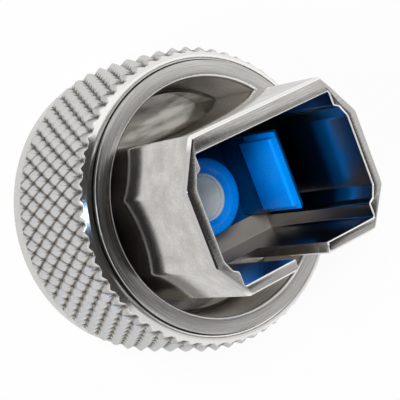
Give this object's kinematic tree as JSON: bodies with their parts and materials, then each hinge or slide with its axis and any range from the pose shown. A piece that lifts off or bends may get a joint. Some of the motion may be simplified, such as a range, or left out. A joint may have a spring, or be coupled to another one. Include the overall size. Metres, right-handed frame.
{
  "type": "fibre adapter",
  "caption": "Screw-on fibre adapter: an eight-sided metal plug port with a blue latch insert and ceramic sleeve, on a turned barrel inside a spinning knurled coupling ring.",
  "frame": {"origin": "centre of the coupling ring's rear face, which the part stands on", "axes": "+Z along the axis from the rear of the coupling ring to the mouth of the plug port, +X across the wide way of the port, keyway of the port on the -Y side"},
  "size_m": [0.018, 0.018, 0.0165],
  "materials": {
    "plated_ring": "satin",
    "turned_metal": "brushed",
    "spring_wire": "satin",
    "plated_casting": "satin",
    "blue_plastic": "gloss",
    "holder_plastic": "gloss",
    "white_ceramic": "gloss",
    "pin_steel": "polished",
    "screw_steel": "satin"
  },
  "bodies": {
    "adapter_body": {"barrel": "turned_metal", "snap_ring": "spring_wire", "port_housing": "plated_casting", "latch_insert": "blue_plastic", "rear_sleeve_holder": "holder_plastic", "split_sleeve": "white_ceramic", "locating_pin": "pin_steel", "flange_screws": "screw_steel"},
    "coupling_nut": {"coupling_ring": "plated_ring"}
  },
  "joints": [
    {"name": "coupling_ring_spin", "type": "hinge", "parent": "adapter_body", "child": "coupling_nut", "pos_m": [0, 0, 0.0045], "axis": [0, 0, 1], "continuous": true}
  ]
}
